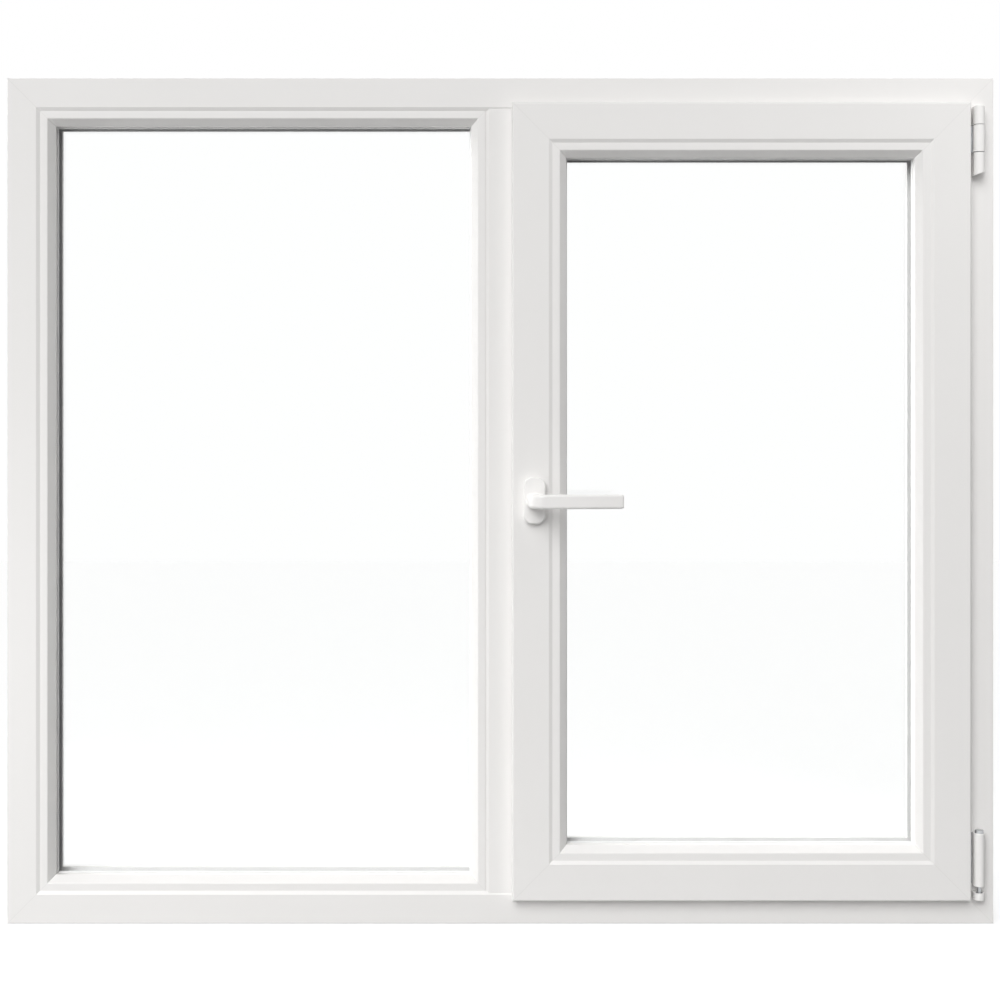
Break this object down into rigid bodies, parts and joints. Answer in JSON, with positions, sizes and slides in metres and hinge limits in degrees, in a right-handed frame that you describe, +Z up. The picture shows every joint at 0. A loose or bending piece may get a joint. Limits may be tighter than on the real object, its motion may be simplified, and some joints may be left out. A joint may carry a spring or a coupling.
{
  "type": "tilt and turn window",
  "caption": "White framed window with a fixed light on the left and, on the right, a sash that turns or tilts inwards on side hinges, worked by a lever handle.",
  "frame": {"origin": "middle of the frame's underside, halfway through the frame's depth", "axes": "+X to the right seen from the room, +Y outdoors, +Z up"},
  "size_m": [1.4, 0.141, 1.2],
  "materials": {
    "white_pvc": "smooth satin white",
    "grey_seal": "matt light grey",
    "clear_glass": "clear float glass",
    "spacer_bar": "mill finish",
    "zinc_steel": "zinc plated",
    "white_handle": "white powder coat",
    "white_hinge_cover": "white moulded cover"
  },
  "bodies": {
    "frame": {"frame_left_jamb": "white_pvc", "frame_right_jamb": "white_pvc", "frame_sill": "white_pvc", "frame_head": "white_pvc", "mullion": "white_pvc", "fixed_room_pane": "clear_glass", "fixed_outdoor_pane": "clear_glass", "fixed_pane_spacer": "spacer_bar", "fixed_bead_seal": "grey_seal", "fixed_outdoor_seal": "grey_seal", "fixed_left_bead": "white_pvc", "fixed_right_bead": "white_pvc", "fixed_bottom_bead": "white_pvc", "fixed_top_bead": "white_pvc", "sash_stop_seal": "grey_seal", "top_hinge_bracket": "white_hinge_cover", "top_hinge_pin": "zinc_steel", "bottom_hinge_foot": "white_hinge_cover", "lock_keeps": "zinc_steel"},
    "hinge_pivot": {"bottom_hinge_bush": "zinc_steel"},
    "sash": {"sash_lock_stile": "white_pvc", "sash_hinge_stile": "white_pvc", "sash_bottom_rail": "white_pvc", "sash_top_rail": "white_pvc", "sash_room_pane": "clear_glass", "sash_outdoor_pane": "clear_glass", "sash_pane_spacer": "spacer_bar", "sash_bead_seal": "grey_seal", "sash_outdoor_seal": "grey_seal", "sash_left_bead": "white_pvc", "sash_right_bead": "white_pvc", "sash_bottom_bead": "white_pvc", "sash_top_bead": "white_pvc", "sash_flange_seal": "grey_seal", "bottom_hinge_pin": "zinc_steel", "bottom_hinge_knuckle": "zinc_steel", "bottom_hinge_cap": "white_hinge_cover", "lock_face_plates": "zinc_steel", "lock_cams": "zinc_steel", "handle_rose": "white_handle"},
    "stay": {"stay_arm": "zinc_steel"},
    "handle": {"handle_lever": "white_handle"}
  },
  "joints": [
    {"name": "sash_turn", "type": "hinge", "parent": "frame", "child": "hinge_pivot", "pos_m": [0.676, -0.048, 0.044], "axis": [0, 0, 1], "range_deg": [0, 90]},
    {"name": "sash_tilt", "type": "hinge", "parent": "hinge_pivot", "child": "sash", "pos_m": [0.676, -0.048, 0.044], "axis": [-1, 0, 0], "range_deg": [-8, 0]},
    {"name": "stay_swing", "type": "hinge", "parent": "hinge_pivot", "child": "stay", "pos_m": [0.676, -0.048, 1.1125], "axis": [0, 0, 1], "range_deg": [0, 27]},
    {"name": "handle_turn", "type": "hinge", "parent": "sash", "child": "handle", "pos_m": [0.0475, -0.065, 0.602], "axis": [0, 1, 0], "range_deg": [-90, 90]}
  ],
  "couplings": [
    {"joint": "stay_swing", "follows": "sash_tilt", "ratio": -3.3}
  ]
}
